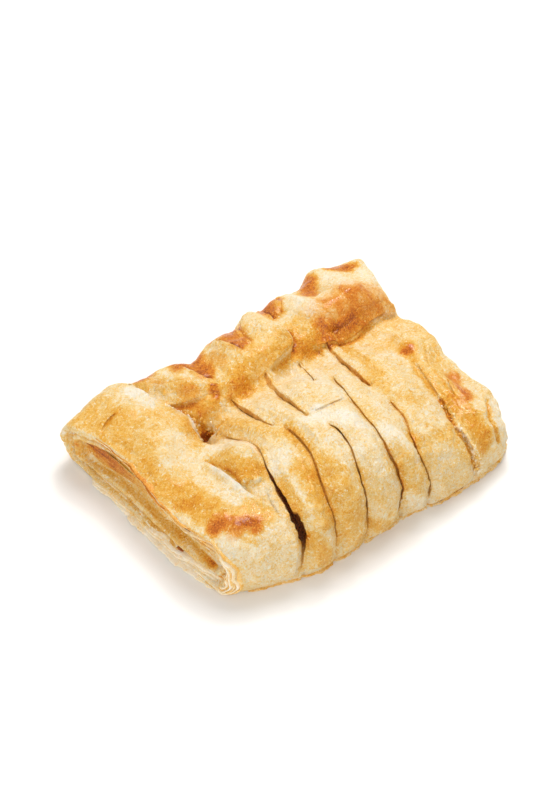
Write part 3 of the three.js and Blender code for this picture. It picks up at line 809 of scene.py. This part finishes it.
# The cut end: its layers are paler and darker by turns, and a streak far back browned most.
def streak(places):
    """How far each place of the cut end lies in the brown streak."""
    along = eased(2.0, 30.0, places[:, 1]) * eased(50.0, 43.0, places[:, 1])
    aside = (places[:, 2] - 12.0 + 1.5 * cloud(places, 5.0, 14)) / 3.6
    return along * np.exp(-(aside**2))


browned_and_shaded += end_face * (0.26 + 0.56 * streak(skin) + 0.14 * end_sheets - browned_and_shaded)
reddened += end_face * (0.4 * streak(skin) - reddened)
hollow = np.sum((evened(skin, 12) - skin) * normals_of(crust), axis=1)
sliced_part = 0.7 * eased(0.1, 0.6, slit)
flaked = eased(0.2, 0.9, 2.0 * flake_field % 1.0)
# What stands out browned more, and torn rims less. In and beside the slashes and at the feet of laps it is
# darker: painted shade.
browned_and_shaded += 0.4 * slit * (1.0 - browned_and_shaded)
browned_and_shaded += 0.05 * (flaked - 0.5) + 0.06 * np.clip(-hollow, -1.0, 1.0) - 0.22 * rim + 0.2 * foot_shade


def store(piece, name, values):
    kept = piece.data.attributes.new(name, "FLOAT", "POINT")
    kept.data.foreach_set("value", np.clip(values, 0.0, 1.0).astype(np.float32))


store(crust, "bake", browned_and_shaded)
store(crust, "rose", reddened * np.maximum(on_skin, end_face))
store(crust, "cut", sliced_part)
store(crust, "slit", slit)
store(crust, "deep", slit_shade)
crust.data.materials.clear()
crust.data.materials.append(baked_finish("crust", 1.0, five_values))
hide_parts("puff_pastry")
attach(crust, "root")

# ---- The edges of the sheet ----
# Where the sheet was slashed or tore in baking it ends in a crisp ragged edge, with the cut or torn layers
# under it. Each edge is a closed strip on the uncut skin whose far side dips into the crust.
# A place on the skin is found from this far out, or, where that misses, as the nearest from further in.
cast_mm = 70.0
missed_mm = 60.0
lowest_mm = 0.05
edge_inset_mm = 1.1


def on_sheet(spots):
    """The places on the uncut skin of spots of the flat sheet, the way out there and the faces hit."""
    places, ways, faces = [], [], []
    for x, u in spots.tolist():
        turned = max(fold_y_mm - u, 0.0) / fold_radius_mm
        out = Vector((0.0, -math.sin(turned), math.cos(turned)))
        start = Vector((x, max(u, fold_y_mm), fold_z_mm)) + cast_mm * out
        place, way, face, _ = uncut.ray_cast(start, -out)
        if place is None:
            place, way, face, _ = uncut.find_nearest(start - missed_mm * out)
        places.append(place)
        ways.append(way)
        faces.append(face)
    return np.array(places), np.array(ways), np.array(faces)


def sheet_strip(rings):
    """A closed strip from rings of points along it: its vertices and faces."""
    count, around, _ = rings.shape
    middles = rings[[0, -1]].mean(axis=1)
    vertices = np.concatenate([rings.reshape(-1, 3), middles])
    faces = []
    for i in range(count - 1):
        for j in range(around):
            k = (j + 1) % around
            faces.append((i * around + j, i * around + k, (i + 1) * around + k, (i + 1) * around + j))
    for j in range(around):
        k = (j + 1) % around
        faces.append((count * around, k, j))
        faces.append((count * around + 1, (count - 1) * around + j, (count - 1) * around + k))
    return vertices, faces


def make_piece(name, strips, values, bump_mm):
    """One mesh of several closed strips, with the dough's values at its vertices and its own finish."""
    vertices, faces, before = [], [], 0
    for strip_vertices, strip_faces in strips:
        vertices.append(strip_vertices)
        faces += [tuple(index + before for index in face) for face in strip_faces]
        before += len(strip_vertices)
    data = bpy.data.meshes.new(name)
    data.from_pydata((np.concatenate(vertices) * MM).tolist(), [], faces)
    piece = bpy.data.objects.new(name, data)
    bpy.context.scene.collection.objects.link(piece)
    select_only(piece)
    bpy.ops.object.mode_set(mode="EDIT")
    bpy.ops.mesh.select_all(action="SELECT")
    bpy.ops.mesh.normals_make_consistent(inside=False)
    bpy.ops.object.mode_set(mode="OBJECT")
    bpy.ops.object.shade_smooth()
    for key, shares in values.items():
        store(piece, key, np.concatenate(shares))
    data.materials.append(baked_finish(name, bump_mm, values))
    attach(piece, "root")


corner_table = np.array(corners)
edge_strips = []
edge_values = {"bake": [], "rose": [], "cut": [], "slit": [], "deep": []}


def sheet_edge(middle, side, reach, profile, gap, depth, lean, ragged, curl, seed):
    """
    An edge along a line's points, on its left side (1) or its right (-1). The profile holds how far across
    each ring's points lie, how far they rise, what share of the depth they sink, and their cut and slit.
    The wall leans out towards its foot.
    """
    run = np.arange(len(middle)) * fine_step_mm
    heading = np.gradient(middle, axis=0)
    heading /= np.linalg.norm(heading, axis=1)[:, None]
    aside = side * np.stack([-heading[:, 1], heading[:, 0]], axis=1)
    spots = np.stack([run, np.full(len(run), 0.37 * seed), run * 0.0], axis=1)
    torn = 0.55 * cloud(spots, 4.0, seed) + 0.35 * cloud(spots, 1.5, seed + 3)
    torn += 0.2 * cloud(spots, 0.7, seed + 6)
    tip = eased(0.0, 5.0, np.minimum(run, run[-1] - run))
    start = 0.5 * gap * tip * (1.0 + 0.3 * torn) + ragged * torn
    casts = (edge_inset_mm, 0.5 * reach, 0.75 * reach, reach)
    found = []
    for across in casts:
        places, ways, faces = on_sheet(middle + (start + across)[:, None] * aside)
        found.append((along_mean(places, 3), along_mean(ways, 8), corner_table[faces]))
    way = found[0][1] / np.linalg.norm(found[0][1], axis=1)[:, None]
    inward = found[1][0] - found[0][0]
    inward = along_mean(inward / np.linalg.norm(inward, axis=1)[:, None], 6)
    lifted = curl * np.maximum(cloud(spots, 6.0, seed + 9), 0.0) * tip
    rings, shares = [], []
    for across, rise, sunk, cut_share, slit_share in profile:
        level = rise - sunk * depth + lifted * math.exp(-across / 0.9) - 0.8 * (1.0 - tip)
        if across < edge_inset_mm:
            place = found[0][0] - (edge_inset_mm - across + lean * sunk * depth)[:, None] * inward
        else:
            index = min(int(np.searchsorted(casts, across, side="right")) - 1, len(casts) - 2)
            part = (across - casts[index]) / (casts[index + 1] - casts[index])
            place = (1.0 - part) * found[index][0] + part * found[index + 1][0]
        nearest = found[int(np.argmin([abs(across - cast) for cast in casts]))][2]
        rings.append(place + level[:, None] * way)
        # The cut and torn walls are browner than the skin beside them: painted shade.
        browned_with_wall_shade = browned_and_shaded[nearest].mean(axis=1) + 0.2 * cut_share
        shares.append((browned_with_wall_shade, reddened[nearest].mean(axis=1), cut_share, slit_share))
    rings = np.stack(rings, axis=1)
    rings[:, :, 2] = np.maximum(rings[:, :, 2], lowest_mm)
    edge_strips.append(sheet_strip(rings))
    count, around, _ = rings.shape
    ends = [0, (count - 1) * around]
    for key, index in (("bake", 0), ("rose", 1), ("cut", 2), ("slit", 3)):
        columns = np.stack([np.broadcast_to(share[index], count) for share in shares], axis=1).ravel()
        edge_values[key].append(np.concatenate([columns, columns[ends]]))


# Down a crack's wall the slit share rises, so that near its bottom the painted shade of the slash comes in.
crack_profile = [
    (4.0, -0.35, 0.0, 0.0, 0.0), (2.8, -0.02, 0.0, 0.0, 0.0), (1.6, 0.05, 0.0, 0.0, 0.0),
    (1.0, 0.09, 0.0, 0.0, 0.0), (0.5, 0.1, 0.0, 0.0, 0.0), (0.2, 0.06, 0.0, 0.0, 0.0),
    (0.06, -0.02, 0.01, 0.2, 0.0), (0.0, -0.1, 0.06, 0.7, 0.0), (0.06, -0.1, 0.2, 1.0, 0.0),
    (-0.04, -0.1, 0.36, 1.0, 0.1), (0.08, -0.1, 0.55, 1.0, 0.3), (0.0, -0.1, 0.78, 1.0, 0.6),
    (0.1, -0.1, 1.0, 1.0, 1.0), (0.9, -0.3, 1.0, 1.0, 1.0), (4.0, -0.3, 1.0, 0.0, 0.0),
]
torn_profile = [
    (3.6, -0.4, 0.0, 0.0, 0.0), (2.6, -0.02, 0.0, 0.0, 0.0), (1.6, 0.1, 0.0, 0.0, 0.0),
    (1.0, 0.16, 0.0, 0.0, 0.0), (0.5, 0.16, 0.0, 0.0, 0.0), (0.2, 0.1, 0.0, 0.0, 0.0),
    (0.0, -0.05, 0.0, 0.1, 0.0), (0.08, 0.0, 0.5, 0.5, 0.1), (0.4, 0.0, 1.0, 1.0, 0.4),
    (1.0, -0.3, 1.0, 1.0, 0.6), (3.6, -0.8, 1.0, 0.0, 0.0),
]
for order, line in enumerate(slashes):
    points = curved(line, fine_step_mm)
    gap, step, shade_inside = points.T[2:]
    gap = gap * (0.75 + 0.6 * np.maximum(cloud(points[:, [0, 1, 1]], 5.0, 90 + order), -0.7))
    ragged = 0.07 + 0.1 * eased(0.1, 0.6, gap)
    for side in (1, -1):
        depth = 0.45 + 1.3 * gap + np.maximum(side * step, 0.0)
        lean = 0.35 * (side > 0) * eased(0.5, 1.5, step)
        seed = 2.0 * order + side
        sheet_edge(points[:, :2], side, 4.0, crack_profile, gap, depth, lean, ragged, 0.12, seed)
        shares = np.concatenate([np.repeat(shade_inside, len(crack_profile)), shade_inside[[0, -1]]])
        edge_values["deep"].append(shares)
for order, (rise, _, _, ragged, high, line) in enumerate(laps):
    points = curved(line, fine_step_mm)
    thickness = np.full(len(points), 0.5 + 0.3 * rise)
    sheet_edge(points, high, 3.6, torn_profile, 0.0, thickness, 0.0, 0.45 * ragged, 0.4, 51.0 + order)
    # Under each torn edge the wall holds a little painted shade.
    edge_values["deep"].append(np.full(len(edge_strips[-1][0]), 0.4))
make_piece("sheet_edges", edge_strips, edge_values, 1.0)

# ---- The flakes ----
# Baked layers break into small thin flakes. They cling along the most ragged of the torn edges, tilted up
# a little, each a closed uneven disc.
flake_dice = np.random.default_rng(23)
flake_strips = []
flake_values = {"bake": [], "rose": []}
flake_corners = 9
flake_step_mm = 0.4
flake_spread_mm = 1.3
flake_size_mm = 1.15
flakes_lost = 0.35
flake_paler = 0.14
very_ragged = 0.85


def add_flakes(line):
    """Flakes along a line, on both its sides, a little paler than the crust there."""
    spots = curved(line, flake_step_mm)[:, :2]
    spots = spots + flake_dice.uniform(-flake_spread_mm, flake_spread_mm, spots.shape)
    places, ways, faces = on_sheet(spots)
    for place, way, face in zip(places, ways, faces):
        if flake_dice.random() < flakes_lost:
            continue
        tilt = Vector(flake_dice.normal(0.0, 0.35, 3))
        up = (Vector(way) + tilt).normalized()
        across = up.orthogonal().normalized()
        beside = up.cross(across)
        radius = flake_size_mm * flake_dice.uniform(0.4, 1.0)
        stretch = flake_dice.uniform(0.5, 1.0)
        turns = np.arange(flake_corners) / flake_corners * 2.0 * math.pi
        lengths = radius * flake_dice.uniform(0.65, 1.15, flake_corners)
        outline = np.outer(lengths * np.cos(turns), across)
        outline += np.outer(stretch * lengths * np.sin(turns), beside)
        middle = place + 0.18 * np.array(way)
        thick = 0.08 * np.array(up)
        top = middle + outline + thick
        low = middle + 0.94 * outline - thick
        tips = np.stack([middle + 2.2 * thick, middle - 1.2 * thick])
        vertices = np.concatenate([top, low, tips])
        vertices[:, 2] = np.maximum(vertices[:, 2], 0.03)
        shell = []
        for j in range(flake_corners):
            k = (j + 1) % flake_corners
            shell.append((j, flake_corners + j, flake_corners + k, k))
            shell.append((2 * flake_corners, j, k))
            shell.append((2 * flake_corners + 1, flake_corners + k, flake_corners + j))
        flake_strips.append((vertices, shell))
        around = corner_table[face]
        level = browned_and_shaded[around].mean() - flake_paler + flake_dice.normal(0.0, 0.08)
        flake_values["bake"].append(np.full(len(vertices), level))
        flake_values["rose"].append(np.full(len(vertices), reddened[around].mean()))


for _, _, _, ragged, _, line in laps:
    if ragged > very_ragged:
        add_flakes(line)
make_piece("flakes", flake_strips, flake_values, 0.3)

# ---- The layers at the open end ----
# At the open end the wrapped sheet is cut through. Its baked layers lie inside one another, turn round the
# front corner in a U and come apart in places. Each is a thin closed sheet, its hidden part in the crust.
touched = BVHTree.FromObject(crust, bpy.context.evaluated_depsgraph_get())


def touch(start, direction):
    """The place in mm where a straight line first meets the crust."""
    hit = touched.ray_cast(Vector(start) * MM, Vector(direction))[0]
    return np.array(hit) / MM


# The open end seen from above, as (y, x), and the line inside it that its layers lie round.
end_line = [
    (-44, -62.5), (-36, -65.5), (-23, -66), (2, -65.5), (16, -65.5), (26, -67), (37, -69), (50, -70.5),
]
heart_front_y, heart_back_y, heart_z = -37.0, 36.0, 9.0
station_mm = 0.6
stations = [(y, 90.0) for y in np.arange(heart_back_y, heart_front_y, -station_mm)]
stations += [(heart_front_y, angle) for angle in np.arange(90.0, 270.0, 2.5)]
stations += [(y, 270.0) for y in np.arange(heart_front_y, heart_back_y, station_mm)]
stations = np.array(stations)
spokes = np.stack([np.cos(np.radians(stations[:, 1])), np.sin(np.radians(stations[:, 1]))], axis=1)
hearts = np.stack([stations[:, 0], np.full(len(stations), heart_z)], axis=1)
end_y, end_x = np.array(end_line).T
rim_places = []
lip_x = []
for (y, z), (out_y, out_z) in zip(hearts, spokes):
    x = np.interp(y + 8.0 * out_y, end_y, end_x) + 3.5
    rim = touch((x, y + 80.0 * out_y, z + 80.0 * out_z), (0.0, -out_y, -out_z))[1:]
    rim_places.append(rim)
    lip_x.append(touch((-100.0, rim[0] - 1.6 * out_y, rim[1] - 1.6 * out_z), (1.0, 0.0, 0.0))[0])
rim_places = along_mean(np.array(rim_places), 6)
lip_x = along_mean(np.array(lip_x), 6)
inside_room = np.linalg.norm(rim_places - hearts, axis=1)
travel = travelled(rim_places)
turn_at = travel[len(stations) // 2]

layer_strips = []
layer_values = {"bake": [], "rose": [], "cut": []}


def end_layer(order, inset, thickness, out, begin, finish_at, ragged, pale, brown, brown_y, reds, cuts):
    """
    One layer: how far inside the rim it lies, how thick it is and how far out it stands, the stretch of the
    rim it follows, its bake at the front and behind brown_y, and how red and how much cut it is.
    """
    along = (travel >= begin) & (travel <= finish_at)
    run = travel[along]
    spoke = spokes[along]
    tip = np.minimum(1.0, np.minimum(run - run[0], run[-1] - run) / 2.5)
    line = np.stack([run, run * 0.0, run * 0.0], axis=1)
    coarse = cloud(line, 11.0, 3.1 * order)
    torn = cloud(line, 3.2, 5.3 * order)
    nicked = cloud(line, 1.1, 7.7 * order)
    depth_in = inset + 0.4 * coarse + 0.15 * torn
    depth_in = depth_in * inside_room[along] / (0.3 * np.maximum(depth_in, 0.0) + inside_room[along])
    spots = rim_places[along] - spoke * (depth_in + 0.5)[:, None]
    face_x = np.array([touch((-100.0, y, max(z, 0.3)), (1.0, 0.0, 0.0))[0] for y, z in spots])
    face_x = along_mean(np.minimum(face_x, lip_x[along] + 3.5), 8)
    front_x = face_x - out - ragged * (0.35 * torn + 0.25 * nicked + 1.2 * coarse) - 0.5 * (tip - 1.0)
    hidden = 3.6 + max(out, 0.0) + ragged
    half = 0.5 * thickness * (0.35 + 0.65 * tip) * (1.0 + 0.3 * torn)
    rings = []
    for back, side in ((hidden, -1.0), (0.3, -1.0), (0.0, -0.3), (0.0, 0.3), (0.3, 1.0), (hidden, 1.0)):
        inward = depth_in + side * half + 0.05 * nicked
        yz = rim_places[along] - spoke * inward[:, None]
        rings.append(np.stack([front_x + back, yz[:, 0], np.maximum(yz[:, 1], lowest_mm)], axis=1))
    strip = sheet_strip(np.stack(rings, axis=1))
    layer_strips.append(strip)
    spread = 0.08 * cloud(strip[0], 6.0, order)
    level = pale + (brown - pale) * eased(-20.0, brown_y, strip[0][:, 1])
    layer_values["bake"].append(level + spread + 0.4 * streak(strip[0]))
    layer_values["rose"].append(reds + 0.4 * streak(strip[0]))
    layer_values["cut"].append(np.full(len(strip[0]), cuts))


end_length = travel[-1]
# The layers that stand less far out are browner: partly their own colour and partly painted shade between
# the layers that stand out.
layer_rows = [
    # Outermost, round the front corner and on along the bottom.
    (0.6, 0.9, 0.3, turn_at - 24, end_length - 4, 0.2, 0.4, 0.45, 30, 0.0, 0.3),
    (1.6, 0.5, 0.8, turn_at - 18, end_length, 0.4, 0.1, 0.2, 30, 0.0, 0.0),
    (2.4, 0.6, 0.4, turn_at - 28, turn_at + 60, 0.3, 0.36, 0.4, 30, 0.0, 0.4),
    (3.3, 0.5, 0.9, turn_at - 20, end_length - 3, 0.4, 0.1, 0.24, 30, 0.0, 0.0),
    # Inside those, from the top round the front corner.
    (4.2, 0.5, 0.4, 30, turn_at + 40, 0.4, 0.42, 0.55, 10, 0.0, 0.5),
    (5.2, 0.6, 0.9, 20, turn_at + 30, 0.5, 0.16, 0.45, 20, 0.0, 0.1),
    (6.3, 0.4, 0.4, 10, turn_at + 22, 0.4, 0.46, 0.66, 10, 0.3, 0.5),
    (7.4, 0.5, 0.8, 24, turn_at + 16, 0.5, 0.2, 0.42, 10, 0.0, 0.1),
    (8.6, 0.4, 0.3, 16, turn_at + 10, 0.4, 0.46, 0.62, 10, 0.1, 0.5),
    (10.2, 0.5, 0.7, 34, turn_at + 6, 0.5, 0.24, 0.42, 10, 0.0, 0.1),
    (12.5, 0.4, 0.4, 42, turn_at + 3, 0.4, 0.4, 0.52, 10, 0.0, 0.4),
    (15.5, 0.4, 0.5, 50, turn_at + 1, 0.4, 0.26, 0.4, 10, 0.0, 0.2),
    # Along the top, from the back corner.
    (1.8, 0.5, 0.3, 0, turn_at - 20, 0.3, 0.5, 0.6, 10, 0.1, 0.6),
    (2.9, 0.5, 0.6, 2, turn_at - 24, 0.4, 0.46, 0.74, 10, 0.4, 0.4),
    (4.0, 0.6, 0.3, 4, turn_at - 28, 0.4, 0.5, 0.86, 10, 0.5, 0.3),
    (5.0, 0.5, 0.7, 0, turn_at - 32, 0.4, 0.38, 0.66, 10, 0.3, 0.3),
    # Loose ragged sheets along the bottom.
    (0.4, 0.7, 1.8, turn_at + 16, end_length - 3, 1.1, 0.08, 0.16, 30, 0.0, 0.0),
    (1.3, 0.5, 2.4, turn_at + 24, turn_at + 64, 1.4, 0.02, 0.1, 30, 0.0, 0.0),
    (1.5, 0.5, 1.8, turn_at + 60, end_length, 1.3, 0.04, 0.1, 30, 0.0, 0.0),
    (2.4, 0.5, 1.4, turn_at + 12, end_length - 8, 1.0, 0.12, 0.2, 30, 0.0, 0.1),
    (3.2, 0.5, 1.8, turn_at + 20, turn_at + 52, 1.2, 0.02, 0.1, 30, 0.0, 0.0),
    (3.6, 0.4, 1.1, turn_at + 42, end_length - 2, 1.0, 0.08, 0.2, 30, 0.0, 0.0),
    (4.6, 0.4, 0.8, turn_at + 14, end_length - 14, 0.8, 0.14, 0.3, 30, 0.0, 0.2),
    # Two layers baked dark brown, as painted shade inside two splits.
    (6.9, 0.8, 0.6, turn_at - 41, turn_at - 34, 0.0, 1.0, 1.0, 10, 0.2, 0.2),
    (5.4, 1.1, 1.3, turn_at + 34, turn_at + 38, 0.0, 1.0, 1.0, 10, 0.2, 0.2),
]
for order, row in enumerate(layer_rows):
    end_layer(order + 1, *row)
make_piece("end_layers", layer_strips, layer_values, 0.3)

# ---- The foot ----
# The bottom sheet of dough baked thin and ragged on the tray, and stands out a little all along the front
# and round the shut end.
foot_path = []
foot_step_mm = 0.5
foot_touch_z_mm = 1.6
for x in np.arange(-56.0, 62.0, foot_step_mm):
    foot_path.append((*touch((x, -120.0, foot_touch_z_mm), (0.0, 1.0, 0.0))[:2], 0.0, -1.0))
for turned in np.arange(90.0, 0.0, -4.0):
    out_x, out_y = math.cos(math.radians(turned)), -math.sin(math.radians(turned))
    start = (58.0 + 60.0 * out_x, -46.0 + 60.0 * out_y, foot_touch_z_mm)
    foot_path.append((*touch(start, (-out_x, -out_y, 0.0))[:2], out_x, out_y))
for y in np.arange(-45.0, 20.0, foot_step_mm):
    foot_path.append((*touch((120.0, y, foot_touch_z_mm), (-1.0, 0.0, 0.0))[:2], 1.0, 0.0))
foot_path = np.array(foot_path)
foot_travel = travelled(foot_path[:, :2])
foot_strips = []
foot_values = {"bake": [], "cut": []}
# How high each thin layer of the foot lies, how thick it is, how far it stands out, the stretch it covers,
# how ragged it is and its bake.
foot_rows = [
    (0.3, 0.5, 0.5, 0, 178, 0.9, 0.34), (0.9, 0.4, 0.2, 6, 90, 0.7, 0.42),
    (0.95, 0.4, 0.9, 84, 176, 0.9, 0.3), (1.5, 0.35, 0.7, 92, 170, 0.8, 0.36),
    # The thick dark layer at 1.9 mm is painted shade in a crack above the foot.
    (1.9, 0.9, 0.1, 86, 112, 0.5, 0.9), (2.7, 0.5, 0.6, 84, 116, 0.9, 0.3),
    (3.6, 0.4, 0.3, 92, 110, 0.8, 0.4),
]
for order, (height, thickness, reach, begin, finish_at, ragged, brown) in enumerate(foot_rows):
    along = (foot_travel >= begin) & (foot_travel <= finish_at)
    run = foot_travel[along]
    line = np.stack([run, run * 0.0, run * 0.0], axis=1)
    tip = np.minimum(1.0, np.minimum(run - run[0], run[-1] - run) / 3.0)
    torn = 0.6 * cloud(line, 5.0, 31 + order) + 0.5 * cloud(line, 1.7, 41 + order)
    edge = reach * tip + ragged * torn
    half = 0.5 * thickness * (0.3 + 0.7 * tip)
    x, y, out_x, out_y = foot_path[along].T
    rings = []
    for back, side in ((3.0, -1.0), (0.3, -1.0), (0.0, 0.0), (0.3, 1.0), (3.0, 1.0)):
        out = edge - back
        z = np.maximum(height + side * half, 0.03)
        rings.append(np.stack([x + out_x * out, y + out_y * out, z], axis=1))
    strip = sheet_strip(np.stack(rings, axis=1))
    foot_strips.append(strip)
    foot_values["bake"].append(brown + 0.16 * cloud(strip[0], 3.0, order))
    foot_values["cut"].append(np.full(len(strip[0]), 0.3))
make_piece("foot", foot_strips, foot_values, 0.3)
